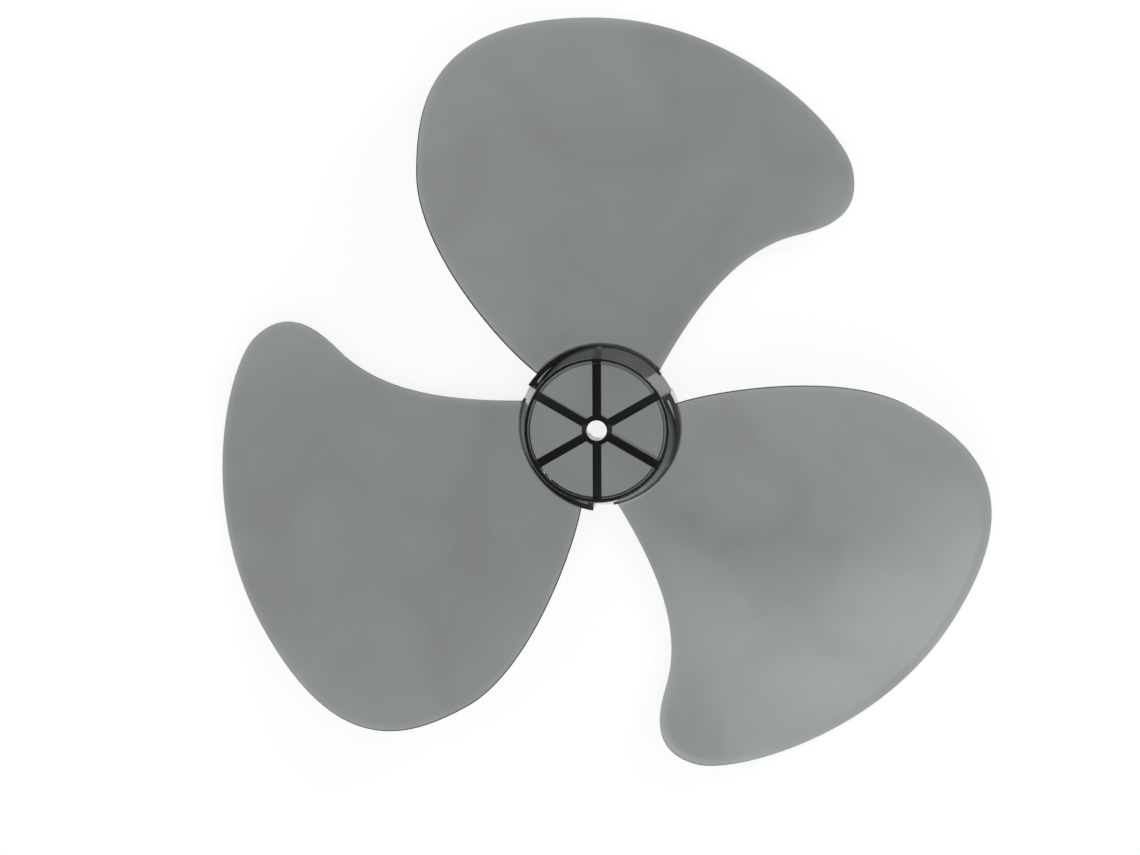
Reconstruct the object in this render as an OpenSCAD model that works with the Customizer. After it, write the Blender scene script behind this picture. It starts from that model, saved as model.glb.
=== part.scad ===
// Three-bladed fan impeller, moulded in one piece: a cupped hub with a shaft bore, and three swept blades.
// Origin: the centre of the shaft bore at its front end. +Z points along the hub's axis to the front, and
// the first blade lies along +Y. Angles run clockwise from there as seen from the front, which is the way
// that the fan turns. Each module is drawn with z = 0 in the plane that the hub's rear skirts stand on.

/* [Hub] */
// Height of the hub from the plane its rear skirts stand on to its front rim
hub_h = 24.6; // [20:0.1:32]
// Outer radius of the skirts that the blades grow from
hub_r = 33.2; // [31.5:0.1:38]
// Outer radius of the front rim
rim_r = 29.3; // [26:0.1:31]
// Width of the front rim
rim_w = 2.4; // [1.6:0.1:3]
// Depth of the front face below the rim
face_drop = 1; // [0.4:0.1:2]
// Thickness of the front face
web_t = 2.2; // [1.6:0.1:3.5]
// Thickness of the tapered front wall
wall_t = 1.8; // [1.4:0.1:2.2]
// Height at which the front wall ends between two blades
wall_z = 5; // [3:0.1:8]
// Thickness of the skirts behind the blades
skirt_t = 2; // [1.6:0.1:2.6]
// Thickness of the ledge that joins a skirt to the front wall
ledge_t = 2; // [1.5:0.1:2.4]
// Height that the ledge stands proud of the blade's front
ledge_step = 1; // [0.9:0.1:1.4]
// Angle from a blade's centre line back to its skirt's square end
skirt_back_a = 57; // [53:0.5:59]
// Angle from a blade's centre line forward to its skirt's other end
skirt_front_a = 50; // [49.5:0.5:55]
// Radius of the round on the front rim
rim_round = 0.7; // [0.3:0.1:0.8]

/* [Shaft fit] */
// Diameter of the shaft bore
bore_d = 8.2; // [6:0.1:10]
// Outer diameter of the boss at its rear end
boss_d = 11.4; // [11:0.1:15]
// Extra diameter of the boss where it joins the front face
boss_draft = 1; // [0.4:0.1:2]
// Length of the boss behind the front face
boss_len = 8.6; // [6:0.1:12]
// Width of the slot for the shaft's cross pin
slot_w = 4.2; // [3:0.1:5]
// Depth of the slot for the shaft's cross pin
slot_d = 4; // [2:0.1:5]

/* [Ribs] */
// Rib thickness at the front face
rib_t = 3.8; // [2:0.1:4.2]
// Rib thickness at the hub's rear plane
rib_edge_t = 1.4; // [0.8:0.1:2]
// Height of a deep rib's rear edge at the hub's wall
deep_rib_z = 5.5; // [5:0.1:10]
// Height of a shallow rib's rear edge at the hub's wall
low_rib_z = 16; // [13:0.1:18]

/* [Blade section] */
// Height of the blades' reference line above the rear plane
blade_z = 5.6; // [5:0.1:8]
// Angle of the blade's lowest line back from its centre line
low_line_a = 3; // [0:0.5:6]
// Pitch at the hub, in degrees
root_pitch = 12; // [8:0.5:13]
// Pitch at the tip, in degrees
tip_pitch = 8; // [4:0.5:8.5]
// Camber: how far the section hollows, as a share of the radius
camber = 0.2; // [0.17:0.01:0.24]
// Blade thickness at the hub
root_t = 2.1; // [1.6:0.1:2.4]
// Blade thickness at the tip
tip_t = 1.9; // [1.4:0.1:2.2]
// Height of the fillet between blade and hub
fillet_h = 0.4; // [0.2:0.1:0.8]
// Width of that fillet along the blade
fillet_w = 1.5; // [1.2:0.1:4]
// Width over which the blade's edge is rounded
edge_w = 1; // [0.6:0.1:1.6]

/* [Blade outline] */
// Radius of the circle that the blades sweep
sweep_r = 165.4; // [155:0.1:175]
// Side offset of the point that reaches that circle, towards the trailing edge
crown_x = 3; // [-5:0.1:10]
// Furthest reach of the trailing edge to the side
back_x = 71.8; // [66:0.1:78]
// Distance of that point from the hub's axis, along the blade
back_y = 103.7; // [98:0.1:108]
// Furthest reach of the leading tip to the side
tip_x = 102.7; // [97:0.1:108]
// Distance of that point from the hub's axis, along the blade
tip_y = 102.9; // [99:0.1:108]
// Side offset of the leading edge's turning point
dip_x = 79.7; // [76:0.1:83]
// Distance of that point from the hub's axis, along the blade
dip_y = 77.6; // [75:0.1:80]
// Direction of the leading edge at its turning point, from the blade's centre line
dip_a = 75.8; // [68:0.1:84]
// Angle from the centre line back to the trailing root
root_back_a = 48; // [44:0.1:50]
// Angle from the centre line forward to the leading root
root_front_a = 48.2; // [44:0.1:49]
// Direction of the trailing edge as it leaves the hub
root_back_dir = 51.8; // [46:0.1:56]
// Direction of the leading edge as it leaves the hub
root_front_dir = 28.8; // [22:0.1:36]

/* [Hidden] */

// How many blades there are, and so how the hub's skirts and deep ribs repeat
blades = 3;
turn = 360 / blades;
// How far a part that is fused to another reaches into it
bite = 1;
// Least width of the ledge inside the skirt
lip_min = 0.3;
// Where the wall that closes a skirt's square end starts and stops, as angles from that end
end_inset_a = 0.5;
end_a = 4;
// How far inside the skirts the front wall ends
wall_step = 0.3;
// Radius inside the skirt where the blades start
root_r = hub_r - bite;
// Steps of the meshed surfaces: across a blade, along it, and round a skirt
steps_u = 20;
steps_v = 18;
skirt_steps = 22;
// Extra rows across a blade's root, for the fillet, as shares of the blade's length
root_rows = [0, 0.009, 0.016, 0.025];
round_steps = 4;
// Lengths of the outline's curve handles, in the order of the outline: trailing root, widest point, crown,
// leading tip, turning point, leading root
pull_root_back = 17;
pull_back_in = 31;
pull_back_out = 24.5;
pull_crown_in = 66;
pull_crown_out = 68;
pull_tip_in = 7;
pull_tip_out = 16;
pull_dip_in = 17.5;
pull_dip_out = 24;
pull_root_front = 32;
// Where the outline passes from the trailing edge to the outer edge, and from there to the leading edge,
// as a share of the curve that each lies on
shoulder_t = 0.45;
tip_t0 = 0.86;

web_top = hub_h - face_drop;
web_z = web_top - web_t;
boss_z = web_z - boss_len;
boss_r = boss_d / 2;
smoke = [0.30, 0.32, 0.32, 0.75];

// Outer radius of the tapered front wall at height z
function cone_r(z) = rim_r + (hub_r - wall_step - rim_r) * (hub_h - z) / (hub_h - wall_z);

// A direction in the blade's plan, and a point at radius r, both at a degrees clockwise from the blade's line
function dir(a) = [sin(a), cos(a)];
function at(r, a) = r * dir(a);

// Height of the middle of the blade's thickness at radius r and angle a
function pitch(r) = root_pitch + (tip_pitch - root_pitch) * (r - hub_r) / (sweep_r - hub_r);
function arc(a) = (a + low_line_a) * PI / 180;
function blade_mid(r, a) = blade_z - r * arc(a) * tan(pitch(r)) + camber * r * arc(a) * arc(a);
function blade_t(r) = root_t + (tip_t - root_t) * (r - hub_r) / (sweep_r - hub_r);
function fillet(r) = fillet_h * pow(max(0, min(1, 1 - (r - hub_r) / fillet_w)), 2);

// Top of the ledge that stands on a skirt
function ledge_top(a) = blade_mid(hub_r, a) + root_t / 2 + ledge_step;

// The blade's plan outline: five cubic curves from the trailing root, over the tip, to the leading root
root_back = at(root_r, -root_back_a);
back = [-back_x, back_y];
crown = [-crown_x, sweep_r];
tip = [tip_x, tip_y];
dip = [dip_x, dip_y];
root_front = at(root_r, root_front_a);
outline = [
    [root_back, root_back + pull_root_back * dir(-root_back_dir), back - [0, pull_back_in], back],
    [back, back + [0, pull_back_out], crown - [pull_crown_in, 0], crown],
    [crown, crown + [pull_crown_out, 0], tip + [0, pull_tip_in], tip],
    [tip, tip - [0, pull_tip_out], dip + pull_dip_in * dir(dip_a), dip],
    [dip, dip - pull_dip_out * dir(dip_a), root_front + pull_root_front * dir(root_front_dir), root_front]
];

function curve(p, t) = pow(1 - t, 3) * p[0] + 3 * t * pow(1 - t, 2) * p[1]
    + 3 * t * t * (1 - t) * p[2] + pow(t, 3) * p[3];
function slope(p, t) = pow(1 - t, 2) * (p[1] - p[0]) + 2 * t * (1 - t) * (p[2] - p[1])
    + t * t * (p[3] - p[2]);

// Place w on the outline counts whole curves, so 1.5 is halfway along the second one
function part_no(w) = min(floor(w), len(outline) - 1);
function edge_at(w) = curve(outline[part_no(w)], w - part_no(w));
function edge_slope(w) = slope(outline[part_no(w)], w - part_no(w));
function inward(w) = let (d = edge_slope(w)) [d.y, -d.x] / norm(d);

// The outline's three free sides, each from 0 to 1
function trail_w(v) = v * (1 + shoulder_t);
function outer_w(u) = (1 + shoulder_t) + u * (1 + tip_t0 - shoulder_t);
function lead_w(v) = lookup(v, [[0, 5], [0.55, 4], [0.85, 3], [1, 2 + tip_t0]]);

// The rounded edge goes through a quarter turn from the outline, at q = 0, to the full thickness
function edge_in(w, q) = edge_at(w) + inward(w) * edge_w * (1 - cos(q));
function polar(p) = [norm(p), atan2(p.x, p.y)];
function inner(w) = polar(edge_in(w, 90));

// The blade's face, in radius and angle: lines from the trailing edge to the leading one, which bow out
// towards the outer edge as they near it
function patch(u, v) = (1 - u) * inner(trail_w(v)) + u * inner(lead_w(v))
    + v * (inner(outer_w(u)) - (1 - u) * inner(trail_w(1)) - u * inner(lead_w(1)));

function skin(ra, side) = let (p = at(ra[0], ra[1]))
    [p.x, p.y, blade_mid(ra[0], ra[1]) + side * (blade_t(ra[0]) / 2 + fillet(ra[0]))];

// Places of the rows along a blade, each from 0 to 1
root_v = root_rows[len(root_rows) - 1];
row_v = concat(root_rows, [for (j = [1 : steps_v]) root_v + (1 - root_v) * j / steps_v]);
rows = len(row_v) - 1;

// All the places along the free edge, in order
free_edge = concat(
    [for (v = row_v) trail_w(v)],
    [for (i = [1 : steps_u]) outer_w(i / steps_u)],
    [for (j = [rows - 1 : -1 : 0]) lead_w(row_v[j])]
);
last_edge = len(free_edge) - 1;

row = steps_u + 1;
face_points = row * (rows + 1);
// Index of a face point, and of a point on one of the edge's three inner rings
function face_no(side, i, j) = (side > 0 ? 0 : face_points) + j * row + i;
function edge_face_no(side, k) =
    k <= rows ? face_no(side, 0, k)
    : k <= rows + steps_u ? face_no(side, k - rows, rows)
    : face_no(side, steps_u, last_edge - k);
function ring_no(ring, k) = 2 * face_points + ring * (last_edge + 1) + k;
// The rings across the edge, from the front face to the rear one
function across(n, k) = n == 0 ? edge_face_no(1, k) : n == 4 ? edge_face_no(-1, k) : ring_no(n - 1, k);

module blade() {
    points = concat(
        [for (side = [1, -1], v = row_v, i = [0 : steps_u]) skin(patch(i / steps_u, v), side)],
        [for (q = [45, 0, -45], w = free_edge) skin(polar(edge_in(w, abs(q))), sin(q))]
    );
    faces = concat(
        [for (j = [0 : rows - 1], i = [0 : steps_u - 1], half = [0, 1])
            half == 0 ? [face_no(1, i, j), face_no(1, i, j + 1), face_no(1, i + 1, j + 1)]
            : [face_no(1, i, j), face_no(1, i + 1, j + 1), face_no(1, i + 1, j)]],
        [for (j = [0 : rows - 1], i = [0 : steps_u - 1], half = [0, 1])
            half == 0 ? [face_no(-1, i, j), face_no(-1, i + 1, j + 1), face_no(-1, i, j + 1)]
            : [face_no(-1, i, j), face_no(-1, i + 1, j), face_no(-1, i + 1, j + 1)]],
        [for (k = [0 : last_edge - 1], n = [0 : 3], half = [0, 1])
            half == 0 ? [across(n, k), across(n + 1, k), across(n + 1, k + 1)]
            : [across(n, k), across(n + 1, k + 1), across(n, k + 1)]],
        [for (i = [0 : steps_u - 1], half = [0, 1])
            half == 0 ? [face_no(1, i, 0), face_no(1, i + 1, 0), face_no(-1, i + 1, 0)]
            : [face_no(1, i, 0), face_no(-1, i + 1, 0), face_no(-1, i, 0)]],
        [for (n = [0 : 2]) [across(0, 0), across(n + 2, 0), across(n + 1, 0)]],
        [for (n = [0 : 2]) [across(0, last_edge), across(n + 1, last_edge), across(n + 2, last_edge)]]
    );
    polyhedron(points, faces, convexity = 6);
}

// A solid swept round the axis through sections of [radius, height] points, one for each angle. A section
// starts at a point that all of it can be seen from.
module arc_sweep(angles, sections) {
    n = len(sections[0]);
    m = len(angles) - 1;
    points = [for (k = [0 : m], p = sections[k]) [p[0] * sin(angles[k]), p[0] * cos(angles[k]), p[1]]];
    faces = concat(
        [for (k = [0 : m - 1], i = [0 : n - 1], half = [0, 1]) let (j = (i + 1) % n)
            half == 0 ? [k * n + i, (k + 1) * n + j, k * n + j]
            : [k * n + i, (k + 1) * n + i, (k + 1) * n + j]],
        [for (i = [1 : n - 2]) [0, i, i + 1]],
        [for (i = [1 : n - 2]) [m * n, m * n + i + 1, m * n + i]]
    );
    polyhedron(points, faces, convexity = 4);
}

function spread(from, to, steps) = [for (i = [0 : steps]) from + (to - from) * i / steps];

// The skirt behind one blade, with the ledge on which it steps in to the front wall
module skirt() {
    angles = spread(-skirt_back_a, skirt_front_a, skirt_steps);
    arc_sweep(angles, [for (a = angles)
        let (top = ledge_top(a), under = top - ledge_t, in_r = hub_r - skirt_t,
            lip_r = min(cone_r(top) - wall_t / 2, in_r - lip_min))
        [[in_r, under], [in_r, 0], [hub_r, 0], [hub_r, top], [lip_r, top], [lip_r, under]]]);
}

// The skirt's square end is closed by a wall between the skirt and the front wall
module skirt_end() {
    angles = [end_inset_a - skirt_back_a, end_a - skirt_back_a];
    arc_sweep(angles, [for (a = angles)
        let (foot = wall_z + bite / 2, top = ledge_top(a) - ledge_t / 2, out_r = hub_r - skirt_t / 2)
        [[out_r, foot], [out_r, top], [cone_r(top) - wall_t / 2, top], [cone_r(foot) - wall_t / 2, foot]]]);
}

// The space under the ledge, from which the front wall is left out
module under_ledge() {
    angles = spread(end_a / 2 - skirt_back_a, skirt_front_a - end_a / 2, skirt_steps);
    out_r = hub_r - skirt_t / 2;
    in_r = rim_r - wall_t - bite;
    arc_sweep(angles, [for (a = angles) let (top = ledge_top(a) - ledge_t / 2)
        [[out_r, -bite], [out_r, top], [in_r, top], [in_r, -bite]]]);
}

// The front face, its rim and the wall that widens from the rim to the blades
module front_shell() {
    rim_in = rim_r - rim_w;
    out_c = [rim_r - rim_round, hub_h - rim_round];
    in_c = [rim_in + rim_round, hub_h - rim_round];
    rotate_extrude($fn = 96) polygon(concat(
        [[0, web_z], [cone_r(web_z) - wall_t, web_z], [cone_r(wall_z) - wall_t, wall_z], [cone_r(wall_z), wall_z]],
        [for (i = [0 : round_steps]) out_c + rim_round * [cos(90 * i / round_steps), sin(90 * i / round_steps)]],
        [for (i = [0 : round_steps]) in_c + rim_round * [-sin(90 * i / round_steps), cos(90 * i / round_steps)]],
        [[rim_in, web_top], [0, web_top]]
    ));
}

// One rib behind the front face: thinner towards the rear, and cut to its side profile
module rib(wall_end_z) {
    start_r = boss_r - bite;
    boss_end_z = boss_z + bite / 2;
    intersection() {
        rotate([90, 0, 180]) linear_extrude(hub_r)
            polygon([[-rib_edge_t / 2, 0], [rib_edge_t / 2, 0], [rib_t / 2, web_top], [-rib_t / 2, web_top]]);
        rotate([90, 0, 90]) translate([0, 0, -rib_t]) linear_extrude(2 * rib_t)
            polygon([[start_r, boss_end_z], [cone_r(wall_end_z) - wall_t / 2, wall_end_z],
                [cone_r(web_z) - wall_t / 2, web_z + web_t / 2], [start_r, web_z + web_t / 2]]);
    }
}

module ribs() {
    for (k = [0 : blades - 1]) {
        rotate(-k * turn) rib(deep_rib_z);
        rotate(-(k + 0.5) * turn) rib(low_rib_z);
    }
}

module boss() {
    translate([0, 0, boss_z]) cylinder(boss_len + web_t / 2, boss_r, boss_r + boss_draft / 2, $fn = 64);
}

// The shaft's bore, and the slot across the boss's rear end that its cross pin drives
module shaft_cuts() {
    translate([0, 0, -bite]) cylinder(hub_h + 2 * bite, d = bore_d, $fn = 64);
    translate([-hub_r / 2, -slot_w / 2, boss_z - bite]) cube([hub_r, slot_w, slot_d + bite]);
}

module fan_blade() {
    color(smoke) translate([0, 0, -web_top]) difference() {
        union() {
            difference() {
                front_shell();
                for (k = [0 : blades - 1]) rotate(-k * turn) under_ledge();
            }
            for (k = [0 : blades - 1]) rotate(-k * turn) {
                skirt();
                skirt_end();
                blade();
            }
            ribs();
            boss();
        }
        shaft_cuts();
    }
}

fan_blade();
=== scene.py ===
from math import atan2, cos, degrees, hypot, radians, sin, tan

import bpy
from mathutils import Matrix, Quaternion, Vector


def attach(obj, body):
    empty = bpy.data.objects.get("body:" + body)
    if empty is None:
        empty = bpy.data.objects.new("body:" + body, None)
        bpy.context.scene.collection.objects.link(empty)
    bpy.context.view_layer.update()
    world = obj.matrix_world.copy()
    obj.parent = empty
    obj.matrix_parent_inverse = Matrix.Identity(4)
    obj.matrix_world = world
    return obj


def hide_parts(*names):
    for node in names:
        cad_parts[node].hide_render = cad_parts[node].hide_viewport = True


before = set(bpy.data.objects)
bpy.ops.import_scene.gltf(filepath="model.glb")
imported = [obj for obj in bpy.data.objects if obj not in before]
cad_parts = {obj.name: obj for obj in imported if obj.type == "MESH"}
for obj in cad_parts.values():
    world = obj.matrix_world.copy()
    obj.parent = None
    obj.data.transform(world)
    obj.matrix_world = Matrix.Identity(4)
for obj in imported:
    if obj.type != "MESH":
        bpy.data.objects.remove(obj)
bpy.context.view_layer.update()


# Hub shell
# The front of the hub: a flat front face inside a low rounded rim, and a thin wall that widens from the rim
# towards the rear. It is injection moulded in clear plastic, and the wall's slope lets the mould's core
# pull out. The sizes of the moulding are in millimetres.
MM = 0.001
SEGMENTS = 360
HUB_R = 33.2
REAR_Z = -23.6
RIM_Z = 1.0
RIM_R = 29.3
RIM_W = 2.4
RIM_ROUND = 0.7
WEB_T = 2.2
WALL_T = 1.8
WALL_END_T = 2.3
WALL_END_Z = -18.6
WALL_STEP = 0.3
WALL_END_R = HUB_R - WALL_STEP


def nothing_selected():
    """Leaves edit mode and every object unselected, because an operator acts on all that is selected."""
    if bpy.context.object and bpy.context.object.mode != "OBJECT":
        bpy.ops.object.mode_set(mode="OBJECT")
    bpy.ops.object.select_all(action="DESELECT")


def take_up(piece):
    """Makes a piece the only one selected, and the active one."""
    nothing_selected()
    piece.select_set(True)
    bpy.context.view_layer.objects.active = piece


def named(name):
    """Names the primitive that was just added, and puts its place into its mesh."""
    piece = bpy.context.object
    piece.name = piece.data.name = name
    bpy.ops.object.transform_apply(location=True, rotation=True, scale=True)
    return piece


def pick(piece, kind, wanted):
    """Selects, in edit mode, those faces or edges of a piece whose places in mm pass a test."""
    take_up(piece)
    bpy.ops.object.mode_set(mode="EDIT")
    bpy.ops.mesh.select_mode(type=kind)
    bpy.ops.mesh.select_all(action="DESELECT")
    bpy.ops.object.mode_set(mode="OBJECT")
    mesh = piece.data
    if kind == "FACE":
        for face in mesh.polygons:
            face.select = wanted(face.center / MM, face.normal)
    else:
        for edge in mesh.edges:
            edge.select = wanted(*[mesh.vertices[i].co / MM for i in edge.vertices])
    bpy.ops.object.mode_set(mode="EDIT")


def wall_r(z):
    """Outer radius of the front wall at height z."""
    return RIM_R + (WALL_END_R - RIM_R) * (RIM_Z - z) / (RIM_Z - WALL_END_Z)


nothing_selected()
bpy.ops.mesh.primitive_cone_add(
    vertices=SEGMENTS, radius1=WALL_END_R * MM, radius2=RIM_R * MM, depth=(RIM_Z - WALL_END_Z) * MM,
    location=(0, 0, (RIM_Z + WALL_END_Z) / 2 * MM))
shell = named("hub_shell")
pick(shell, "FACE", lambda c, n: n.z > 0.9)
bpy.ops.mesh.inset(thickness=RIM_W * MM)
bpy.ops.mesh.extrude_region_move(TRANSFORM_OT_translate={"value": (0, 0, -RIM_Z * MM)})
pick(shell, "FACE", lambda c, n: n.z < -0.9)
bpy.ops.mesh.inset(thickness=WALL_END_T * MM)
bpy.ops.mesh.extrude_region_move(TRANSFORM_OT_translate={"value": (0, 0, -(WALL_END_Z + WEB_T) * MM)})
taper = (wall_r(-WEB_T) - WALL_T) / (WALL_END_R - WALL_END_T)
bpy.ops.transform.resize(value=(taper, taper, 1), center_override=(0, 0, -WEB_T * MM))
# The two round edges of the rim's top
pick(shell, "EDGE", lambda a, b: min(a.z, b.z) > RIM_Z - 0.01 and abs(a.length - b.length) < 0.1)
bpy.ops.mesh.bevel(offset=RIM_ROUND * MM, segments=6, affect="EDGES")
nothing_selected()


# Skirts
# Behind each blade the hub is closed by an upright wall of its own, which steps in to the front wall on a
# narrow ledge. The ledge's top follows the slope of the blade's root, just proud of it. Angles are in
# degrees clockwise, seen from the front.
SKIRT_T = 2.0
LEDGE_T = 2.0
LEDGE_STEP = 1.0
LEDGE_MIN_W = 0.05
SKIRT_FROM = -57
SKIRT_TO = 50
SKIRT_STEPS = 80
# How far a solid reaches into its neighbour, or a cutter past a face, before they are joined
BITE = 1.0
# Stands, in a section, for the radius of the front wall, which differs with height
AT_WALL = 10
BLADE_Z = -18.0
# How far the line on which a blade has the height BLADE_Z lies behind its centre line
LOW_LINE = 3
ROOT_PITCH = 12
TIP_PITCH = 8
CAMBER = 0.2
SWEEP_R = 165.4
ROOT_T = 2.1
TIP_T = 1.9


def along(r):
    """How far out on a blade radius r lies, from 0 at the hub to 1 at the tip."""
    return (r - HUB_R) / (SWEEP_R - HUB_R)


def blade_height(r, a):
    """Height of the middle of a blade at radius r, a degrees clockwise from its centre line."""
    arc = radians(a + LOW_LINE)
    pitch = radians(ROOT_PITCH + (TIP_PITCH - ROOT_PITCH) * along(r))
    return BLADE_Z - r * arc * tan(pitch) + CAMBER * r * arc * arc


def ledge_top(a):
    """Height of a ledge's top, a degrees clockwise from its blade's centre line."""
    return blade_height(HUB_R, a) + ROOT_T / 2 + LEDGE_STEP


def clockwise(x, y):
    """Angle of a point clockwise from +Y, in degrees."""
    return degrees(atan2(x, y))


def swept_sector(name, section, start, stop, steps, fit):
    """A solid that spins a section round the axis, and is then fitted in radius and height at each angle."""
    bpy.ops.mesh.primitive_circle_add(vertices=len(section), radius=MM, fill_type="NGON")
    piece = named(name)
    for vertex, (r, z) in zip(piece.data.vertices, section):
        vertex.co = (0, r * MM, z * MM)
    pick(piece, "FACE", lambda c, n: True)
    bpy.ops.mesh.spin(steps=steps, angle=radians(stop - start), center=(0, 0, 0), axis=(0, 0, 1))
    bpy.ops.object.mode_set(mode="OBJECT")
    for vertex in piece.data.vertices:
        x, y, z = vertex.co / MM
        a = start + abs(clockwise(x, y))
        r, z = fit(hypot(x, y), z, a)
        vertex.co = (r * sin(radians(a)) * MM, r * cos(radians(a)) * MM, z * MM)
    pick(piece, "FACE", lambda c, n: True)
    bpy.ops.mesh.normals_make_consistent(inside=False)
    nothing_selected()
    return piece


def ledge_fit(r, z, a):
    """Sets a skirt's section, drawn with its ledge at heights 0 and 1."""
    top = ledge_top(a)
    if r < AT_WALL + 1:
        r = min(wall_r(top) - WALL_T / 2, HUB_R - SKIRT_T - LEDGE_MIN_W)
    return r, {0: top - LEDGE_T, 1: top}.get(round(z), z)


inner_r = HUB_R - SKIRT_T
skirt = swept_sector(
    "skirt", [(inner_r, 0), (inner_r, REAR_Z), (HUB_R, REAR_Z), (HUB_R, 1), (AT_WALL, 1), (AT_WALL, 0)],
    SKIRT_FROM, SKIRT_TO, SKIRT_STEPS, ledge_fit)


# Skirt ends
# The square end of each skirt, on the trailing side, is closed by a short upright wall that reaches in to
# the front wall. The rest of the space under the ledge is open to the core side of the mould.
END_ANGLE = 4
END_INSET = 0.5
END_STEPS = 4
END_REAR_Z = WALL_END_Z + 0.5


def end_fit(r, z, a):
    """Sets the end wall's section, drawn at heights 0 and 1, between the front wall and the skirt."""
    z = {0: END_REAR_Z, 1: ledge_top(a) - LEDGE_T / 2}[round(z)]
    return (wall_r(z) - WALL_T / 2 if r < AT_WALL + 1 else r), z


skirt_end = swept_sector(
    "skirt_end", [(AT_WALL, 0), (HUB_R - BITE, 0), (HUB_R - BITE, 1), (AT_WALL, 1)],
    SKIRT_FROM + END_INSET, SKIRT_FROM + END_ANGLE, END_STEPS, end_fit)


def under_fit(r, z, a):
    """Sets the section of the space under the ledge, drawn at heights 0 and 1."""
    return r, ledge_top(a) - LEDGE_T / 2 if round(z) == 1 else REAR_Z - BITE


under_r = RIM_R - WALL_T - BITE
under_ledge = swept_sector(
    "under_ledge", [(under_r, 1), (under_r, 0), (HUB_R - BITE, 0), (HUB_R - BITE, 1)],
    SKIRT_FROM + END_ANGLE / 2, SKIRT_TO - END_ANGLE / 2, SKIRT_STEPS, under_fit)


# Blades
# Three wide, swept blades, each a thin cambered sheet whose pitch eases towards the tip. The sheet thickens
# in a small fillet where it meets the hub and thins a little towards its edge. The edge's wall stands
# upright, the way the mould opens, and has rounded corners.
BACK = Vector((-71.8, 103.7))
CROWN = Vector((-3, SWEEP_R))
TIP = Vector((102.3, 104.9))
DIP = Vector((79.7, 77.6))
# Where the outline leaves and meets the hub, and which way it runs at its two ends, its tip and its dip
ROOT_BACK = -48
ROOT_FRONT = 48.2
ROOT_BACK_RUN = -51.8
ROOT_FRONT_RUN = 28.8
TIP_RUN = -13.6
DIP_RUN = 75.8
# Where the sheet's two far corners lie on the outline
BACK_CORNER = 1.45
FRONT_CORNER = 2.86
ROWS = 84
COLUMNS = 72
# Closes up the rows near the hub, where the fillet is
ROW_PLACES = [(0, 0), (0.1, 0.028), (1, 1)]
FILLET_H = 0.15
FILLET_W = 0.8
# The thickness that a vertex weight of 1 stands for
FULL_WEIGHT = 4.0
# The sheet ends this far inside the outline, and rows round the edge's corner follow: how far inside the
# outline each lies, and its share of the full thickness
EDGE_GAP = 3.0
EDGE_ROWS = [(0.3, 0.85), (0.15, 0.81), (0.045, 0.708), (0, 0.55)]


def heading(a):
    """The direction that lies a degrees clockwise from +Y."""
    return Vector((sin(radians(a)), cos(radians(a))))


root_back = (HUB_R - BITE) * heading(ROOT_BACK)
root_front = (HUB_R - BITE) * heading(ROOT_FRONT)
outline = [
    (root_back, root_back + 17 * heading(ROOT_BACK_RUN), BACK - Vector((0, 31)), BACK),
    (BACK, BACK + Vector((0, 24.5)), CROWN - Vector((66, 0)), CROWN),
    (CROWN, CROWN + Vector((58.2, 0)), TIP + 16.6 * heading(TIP_RUN), TIP),
    (TIP, TIP - 21.6 * heading(TIP_RUN), DIP + 9.7 * heading(DIP_RUN), DIP),
    (DIP, DIP - 24 * heading(DIP_RUN), root_front + 32 * heading(ROOT_FRONT_RUN), root_front)]


def on_outline(w, gap=EDGE_GAP):
    """The point a gap inside the outline, at place w, which counts whole curves from the trailing root."""
    n = min(int(w), 4)
    a, b, c, d = outline[n]
    t = w - n
    point = (1 - t) ** 3 * a + 3 * t * (1 - t) ** 2 * b + 3 * t * t * (1 - t) * c + t ** 3 * d
    run = (1 - t) ** 2 * (b - a) + 2 * t * (1 - t) * (c - b) + t * t * (d - c)
    return point + gap * Vector((run.y, -run.x)).normalized()


def polar(p):
    """Radius and clockwise angle of a point."""
    return Vector((p.length, clockwise(p.x, p.y)))


def between(x, points):
    """Straight-line lookup in a list of (x, y) points."""
    for (x0, y0), (x1, y1) in zip(points, points[1:]):
        if x <= x1:
            return y0 + (y1 - y0) * (x - x0) / (x1 - x0)
    return points[-1][1]


def trailing(v):
    """Place on the outline that lies a share v along the trailing side."""
    return BACK_CORNER * v


def outer(u):
    """Place on the outline that lies a share u across the far end."""
    return BACK_CORNER + (FRONT_CORNER - BACK_CORNER) * u


def leading(v):
    """Place on the outline that lies a share v along the leading side."""
    return between(v, [(0, 5), (0.55, 4), (0.85, 3), (1, FRONT_CORNER)])


def on_blade(u, v):
    """Radius and angle of the place that lies a share u across the blade and v along it."""
    back, far, front, left, right = [
        polar(on_outline(w)) for w in (trailing(v), outer(u), leading(v), BACK_CORNER, FRONT_CORNER)]
    return (1 - u) * back + u * front + v * (far - (1 - u) * left - u * right)


def set_point(index, r, a, share):
    """Puts a point of the sheet on its place and height, and notes its share of the full thickness."""
    fillet = FILLET_H * max(0, min(1, 1 - (r - HUB_R) / FILLET_W)) ** 2
    slope = (blade_height(r, a + 0.5) - blade_height(r, a - 0.5)) / (r * radians(1))
    full = (ROOT_T + (TIP_T - ROOT_T) * along(r)) * hypot(1, slope) + 2 * fillet
    blade.data.vertices[index].co = (*(r * heading(a) * MM), blade_height(r, a) * MM)
    thickness.add([index], share * full / FULL_WEIGHT, "REPLACE")


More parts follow.
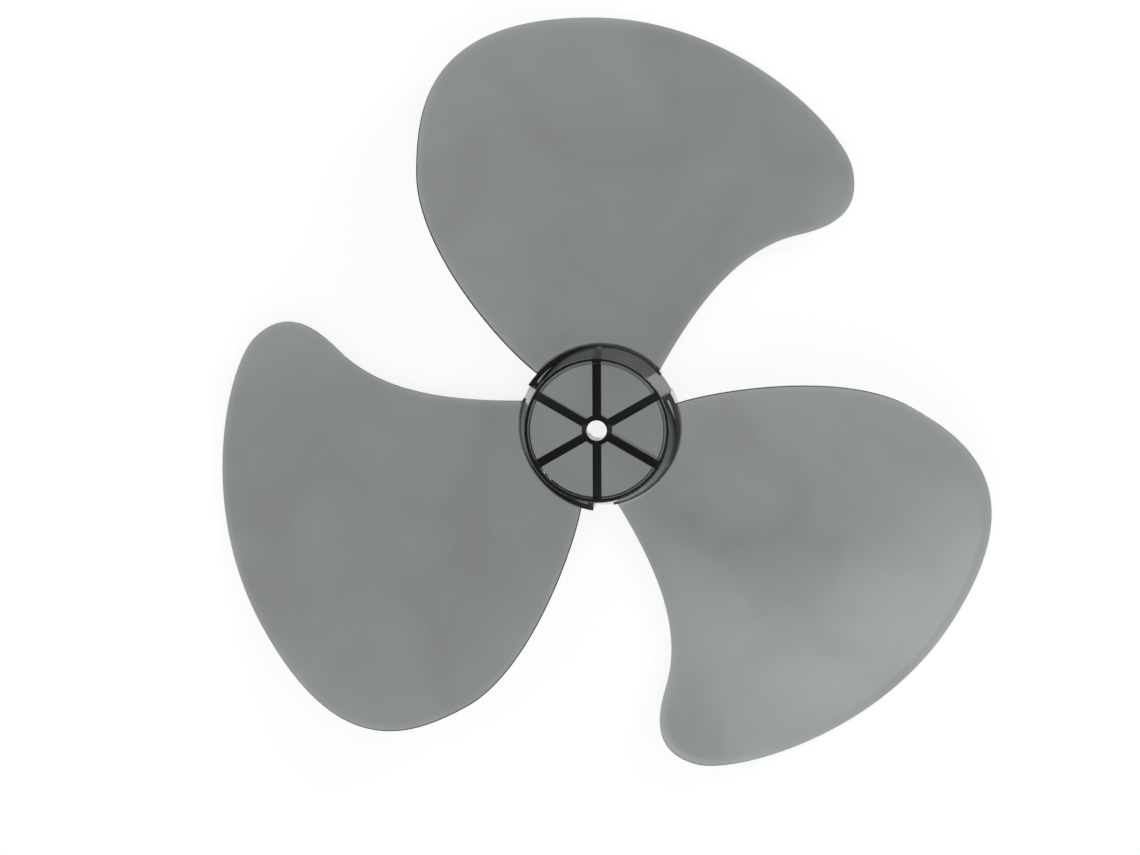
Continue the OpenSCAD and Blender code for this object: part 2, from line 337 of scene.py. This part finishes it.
bpy.ops.mesh.primitive_grid_add(x_subdivisions=COLUMNS, y_subdivisions=ROWS, size=1)
blade = named("blade")
thickness = blade.vertex_groups.new(name="thickness")
border = {}
for vertex in blade.data.vertices:
    u, v = vertex.co.x + 0.5, vertex.co.y + 0.5
    on_side, on_end = not 0.001 < u < 0.999, v > 0.999
    v = between(v, ROW_PLACES)
    if on_side or on_end:
        border[vertex.index] = outer(u) if on_end else trailing(v) if u < 0.5 else leading(v)
    set_point(vertex.index, *on_blade(u, v), 1)
pick(blade, "EDGE", lambda a, b: False)
bpy.ops.object.mode_set(mode="OBJECT")
for gap, share in EDGE_ROWS:
    first_new = len(blade.data.vertices)
    for edge in blade.data.edges:
        edge.select = edge.vertices[0] in border and edge.vertices[1] in border
    bpy.ops.object.mode_set(mode="EDIT")
    bpy.ops.mesh.extrude_region_move()
    bpy.ops.object.mode_set(mode="OBJECT")
    steps = [sorted(edge.vertices) for edge in blade.data.edges]
    border = {new: border[old] for old, new in steps if old in border and new >= first_new}
    for index, w in border.items():
        set_point(index, *polar(on_outline(w, gap)), share)
first_new = len(blade.data.vertices)
pick(blade, "FACE", lambda c, n: True)
bpy.ops.mesh.extrude_region_move()
bpy.ops.object.mode_set(mode="OBJECT")
for vertex in blade.data.vertices:
    half = vertex.groups[0].weight * FULL_WEIGHT / 2 * MM
    vertex.co.z += half if vertex.index >= first_new else -half
pick(blade, "FACE", lambda c, n: True)
bpy.ops.mesh.normals_make_consistent(inside=False)
nothing_selected()


# Ribs
# Six ribs run from the boss to the wall behind the front face, thicker at the face than at their free edge.
# Those behind the blades are deep and reach the skirts' ledges; the three between them are shallow.
RIB_T = 3.8
RIB_EDGE_T = 1.4
DEEP_RIB_Z = -18.1
LOW_RIB_Z = -7.6
BOSS_R = 5.7
BOSS_END_Z = -10.8
INNER_END_Z = BOSS_END_Z + 0.5
FREE_EDGE_ROUND = 0.3


def rib(name, outer_end_z, a):
    """A block shaped to a rib: its rear edge slopes from the boss to a given height at the wall."""
    nothing_selected()
    bpy.ops.mesh.primitive_cube_add(size=2)
    piece = named(name)
    for vertex in piece.data.vertices:
        side, far, up = vertex.co
        z = -WEB_T / 2 if up > 0 else outer_end_z if far > 0 else INNER_END_Z
        half = (RIB_EDGE_T + (RIB_T - RIB_EDGE_T) * (z - REAR_Z) / -REAR_Z) / 2
        y = wall_r(z) - WALL_T / 2 if far > 0 else BOSS_R - BITE
        vertex.co = (side * half * MM, y * MM, z * MM)
    # The two long edges at the rear
    pick(piece, "EDGE", lambda p, q: max(p.z, q.z) < -3 and abs(p.y - q.y) > 5)
    bpy.ops.mesh.bevel(offset=FREE_EDGE_ROUND * MM, segments=3, affect="EDGES")
    take_up(piece)
    piece.rotation_euler.z = -radians(a)
    bpy.ops.object.transform_apply(location=True, rotation=True, scale=True)
    return piece


ribs = [rib("deep_rib", DEEP_RIB_Z, a) for a in (0, 120, 240)]
ribs += [rib("low_rib", LOW_RIB_Z, a) for a in (60, 180, 300)]


# Boss
# The post round the shaft's bore, moulded with a little draft so that it leaves its core. The bore flares a
# little at the front face, and a slot across the rear end takes the shaft's drive pin.
BOSS_DRAFT = 0.5
BOSS_SEGMENTS = 96
BORE_R = 4.1
BORE_CUT = 20
FLARE_H = 0.25
FLARE = 1.06
SLOT_W = 4.2
SLOT_END_Z = -6.8
SLOT_CUT_L = 33
SLOT_CUT_H = 9

nothing_selected()
bpy.ops.mesh.primitive_cone_add(
    vertices=BOSS_SEGMENTS, radius1=BOSS_R * MM, radius2=(BOSS_R + BOSS_DRAFT) * MM,
    depth=(-BOSS_END_Z - BITE) * MM, location=(0, 0, (BOSS_END_Z - BITE) / 2 * MM))
boss = named("boss")
pick(boss, "EDGE", lambda a, b: max(a.z, b.z) < BOSS_END_Z + 0.01)
bpy.ops.mesh.bevel(offset=FREE_EDGE_ROUND * MM, segments=3, affect="EDGES")
nothing_selected()

bpy.ops.mesh.primitive_cylinder_add(
    vertices=BOSS_SEGMENTS, radius=BORE_R * MM, depth=BORE_CUT * MM,
    location=(0, 0, -(BORE_CUT / 2 + FLARE_H) * MM))
bore = named("bore")
pick(bore, "FACE", lambda c, n: n.z > 0.9)
bpy.ops.mesh.extrude_region_move(TRANSFORM_OT_translate={"value": (0, 0, FLARE_H * MM)})
bpy.ops.transform.resize(value=(FLARE, FLARE, 1), center_override=(0, 0, 0))
bpy.ops.mesh.extrude_region_move(TRANSFORM_OT_translate={"value": (0, 0, BITE * MM)})
nothing_selected()
bpy.ops.mesh.primitive_cube_add(
    size=MM, location=(0, 0, (SLOT_END_Z - SLOT_CUT_H / 2) * MM), scale=(SLOT_CUT_L, SLOT_W, SLOT_CUT_H))
slot = named("slot")


# The moulding
# All of these leave the mould as one piece of plastic, so they are joined into one closed surface here. The
# space under each ledge is taken out of the shell before the skirts and blades go on.
def thirds(piece):
    """The piece and two copies, turned a third of a turn and two thirds, each with its own mesh."""
    for n in (1, 2):
        take_up(piece)
        bpy.ops.object.duplicate()
        bpy.context.object.rotation_euler.z = -radians(120 * n)
        bpy.ops.object.transform_apply(location=True, rotation=True, scale=True)
        yield bpy.context.object
    yield piece


def joined(piece, others, operation):
    """Adds the other solids to a piece one by one, or takes them away from it, and removes them."""
    take_up(piece)
    for other in others:
        step = piece.modifiers.new("join", "BOOLEAN")
        step.operation = operation
        step.solver = "MANIFOLD"
        step.object = other
        bpy.ops.object.modifier_apply(modifier="join")
        bpy.data.objects.remove(other)


moulding = shell
joined(moulding, list(thirds(under_ledge)), "DIFFERENCE")
joined(moulding, [*thirds(skirt), *thirds(skirt_end), *thirds(blade), *ribs, boss], "UNION")
joined(moulding, [bore, slot], "DIFFERENCE")
moulding.name = moulding.data.name = "fan_moulding"
take_up(moulding)
bpy.ops.object.shade_smooth_by_angle(angle=radians(35))
even = moulding.modifiers.new("even_shading", "WEIGHTED_NORMAL")
even.keep_sharp = True
bpy.ops.object.modifier_apply(modifier="even_shading")


# Smoke-grey SAN
# Clear rigid plastic tinted through its whole depth, moulded against a polished steel tool. It is glossy,
# one wall of it passes about a quarter of the light, and where it is seen end-on it goes nearly black.
def linear(hex_colour):
    """An sRGB colour as hex digits, turned linear for a shader, with full alpha."""
    parts = [int(hex_colour[i:i + 2], 16) / 255 for i in (0, 2, 4)]
    return [p / 12.92 if p <= 0.04045 else ((p + 0.055) / 1.055) ** 2.4 for p in parts] + [1]


def add(owner, kind, *feeds, into=None, **settings):
    """Adds a node. Its first sockets take the feeds, and its named sockets take the settings."""
    node = owner.node_tree.nodes.new(kind)
    sockets = list(enumerate(feeds))
    for name, value in settings.items():
        if name.replace("_", " ") in node.inputs:
            sockets.append((name.replace("_", " "), value))
        else:
            setattr(node, name, value)
    for socket, value in sockets:
        if isinstance(value, bpy.types.NodeSocket):
            owner.node_tree.links.new(value, node.inputs[socket])
        else:
            node.inputs[socket].default_value = value
    if into:
        owner.node_tree.links.new(node.outputs[0], into)
    return node


san = bpy.data.materials.new("smoke_san_moulded")
san.use_nodes = True
san.node_tree.nodes.clear()
out = add(san, "ShaderNodeOutputMaterial")
place = add(san, "ShaderNodeTexCoord").outputs["Object"]
# Slow ripples of a few centimetres, where the melt flowed round the hub and out along the blades
flow = add(
    san, "ShaderNodeTexNoise", noise_dimensions="4D", Vector=place, W=16.0, Scale=1 / 0.045, Detail=2.0,
    Roughness=0.45, Distortion=0.8)
# Fine handling marks, about 3 mm apart
wear = add(san, "ShaderNodeTexNoise", Vector=place, Scale=1 / 0.003, Detail=3.0, Roughness=0.6)
gloss = add(san, "ShaderNodeMapRange", Value=wear.outputs["Fac"], To_Min=0.05, To_Max=0.13)
ripple = add(san, "ShaderNodeBump", Height=flow.outputs["Fac"], Strength=0.15, Distance=0.0006)
streaks = add(san, "ShaderNodeMapRange", Value=flow.outputs["Fac"], From_Min=0.36, From_Max=0.64)
# Sockets 6 and 7 are the two colours that it mixes
tint = add(san, "ShaderNodeMix", streaks.outputs["Result"], data_type="RGBA")
tint.inputs[6].default_value = linear("f0f0ed")
tint.inputs[7].default_value = linear("fafdfd")
add(
    san, "ShaderNodeBsdfPrincipled", into=out.inputs["Surface"], Base_Color=tint.outputs[2],
    Roughness=gloss.outputs["Result"], Normal=ripple.outputs["Normal"], IOR=1.57, Transmission_Weight=1.0)
add(san, "ShaderNodeVolumeAbsorption", into=out.inputs["Volume"], Color=linear("9aa09f"), Density=870.0)
moulding.data.materials.clear()
moulding.data.materials.append(san)
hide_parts("fan_blade")
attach(moulding, "root")


# Floor
# A plain white table top. Part of its white is its own, so that it stays white behind the clear plastic,
# and the rest is lit, so that the shadow of the moulding still falls on it.
OWN_WHITE = 0.85
FLOOR_SIDE = 6000
FLOOR_GAP = 0.05

nothing_selected()
bpy.ops.mesh.primitive_plane_add(size=FLOOR_SIDE * MM, location=(0, 0, (REAR_Z - FLOOR_GAP) * MM))
floor = named("floor")
table_white = bpy.data.materials.new("white_table")
table_white.use_nodes = True
table_white.node_tree.nodes.clear()
table_out = add(table_white, "ShaderNodeOutputMaterial")
seen = add(table_white, "ShaderNodeLightPath").outputs
seen_or_through = add(
    table_white, "ShaderNodeMath", seen["Is Camera Ray"], seen["Is Transmission Ray"], operation="MAXIMUM")
seen_at_all = add(
    table_white, "ShaderNodeMath", seen_or_through.outputs[0], seen["Is Glossy Ray"], operation="MAXIMUM")
own_white = add(table_white, "ShaderNodeMath", seen_at_all.outputs[0], OWN_WHITE, operation="MULTIPLY")
glow = add(table_white, "ShaderNodeEmission", Strength=own_white.outputs[0], Color=linear("ffffff"))
lit = add(table_white, "ShaderNodeBsdfDiffuse", Color=linear("9c9c9c"))
add(table_white, "ShaderNodeAddShader", glow.outputs[0], lit.outputs[0], into=table_out.inputs["Surface"])
floor.data.materials.append(table_white)


# Light
# A room whose ceiling is dim and whose walls grow white towards the horizon. A paler stretch of ceiling and a
# soft panel over the lower right give that blade its sheen. A window puts the glints on the rim.
PALE_WAY = (-0.107, -0.764, 0.636)

room = bpy.data.worlds.new("white_room")
bpy.context.scene.world = room
room.use_nodes = True
background = room.node_tree.nodes["Background"]
background.inputs["Color"].default_value = linear("ffffff")
way = add(room, "ShaderNodeTexCoord").outputs["Generated"]
height = add(room, "ShaderNodeSeparateXYZ", way)
# White up to 10 degrees above the horizon, and dim from 42 degrees up
walls = add(
    room, "ShaderNodeMapRange", interpolation_type="SMOOTHSTEP", Value=height.outputs["Z"],
    From_Min=cos(radians(80)), From_Max=cos(radians(48)), To_Min=1.0, To_Max=0.2)
# The paler stretch, round and soft, fades out 36 degrees from its middle
nearness = add(room, "ShaderNodeVectorMath", way, PALE_WAY, operation="DOT_PRODUCT")
pale = add(
    room, "ShaderNodeMapRange", interpolation_type="SMOOTHSTEP", Value=nearness.outputs["Value"],
    From_Min=cos(radians(36)), From_Max=cos(radians(10)), To_Max=0.45)
add(
    room, "ShaderNodeMath", walls.outputs[0], pale.outputs[0], operation="ADD",
    into=background.inputs["Strength"])


def area_lamp(name, place, width, length, watts):
    """A rectangular lamp of a size in metres, which hangs at a place and faces straight down."""
    nothing_selected()
    bpy.ops.object.light_add(type="AREA", location=place)
    lamp = bpy.context.object
    lamp.name = name
    lamp.data.shape = "RECTANGLE"
    lamp.data.size = width
    lamp.data.size_y = length
    lamp.data.energy = watts
    return lamp


window = area_lamp("window", (1.07, 0.89, 0.56), 0.4, 0.4, 5)
window.rotation_euler = (-window.location).to_track_quat("-Z", "Y").to_euler()
panel = area_lamp("soft_panel", (0.105, -0.245, 0.48), 0.22, 0.42, 0.7).data
panel.color = (0.90, 0.98, 1.0)
panel.use_nodes = True
across = add(panel, "ShaderNodeNewGeometry").outputs["Parametric"]
from_middle = add(panel, "ShaderNodeVectorMath", across, (0.5, 0.5, 0), operation="DISTANCE")
add(
    panel, "ShaderNodeMapRange", into=panel.node_tree.nodes["Emission"].inputs["Strength"],
    interpolation_type="SMOOTHSTEP", Value=from_middle.outputs["Value"], From_Max=0.5, To_Min=1.0, To_Max=0.0)


# Camera
# It looks down on the front of the fan from a metre away, leaning a little to the upper right. The hub's
# axis stands a little right of the middle of the picture.
# Metres from the lens to the hub's axis at the height of the blades
REACH = 1.055
LEAN = radians(7.88)
LEAN_TO = Vector((0.510, 0.860, 0))
PICTURE = (1140, 855)
AXIS_AT = (599.7, 425.4)
METRES_PER_PIXEL = 0.00041
SENSOR_W = 36

nothing_selected()
bpy.ops.object.camera_add()
camera = bpy.context.object
camera.name = "camera"
camera.rotation_mode = "QUATERNION"
camera.rotation_quaternion = Quaternion(Vector((0, 0, 1)).cross(LEAN_TO), LEAN)
camera.location = Vector((0, 0, BLADE_Z * MM)) + REACH * (camera.rotation_quaternion @ Vector((0, 0, 1)))
camera.data.sensor_width = SENSOR_W
camera.data.lens = SENSOR_W * (REACH / METRES_PER_PIXEL) / PICTURE[0]
camera.data.shift_x = -(AXIS_AT[0] - PICTURE[0] / 2) / PICTURE[0]
camera.data.shift_y = (AXIS_AT[1] - PICTURE[1] / 2) / PICTURE[0]
camera.data.clip_start = 0.01
bpy.context.scene.camera = camera
bpy.context.scene.view_settings.view_transform = "Standard"
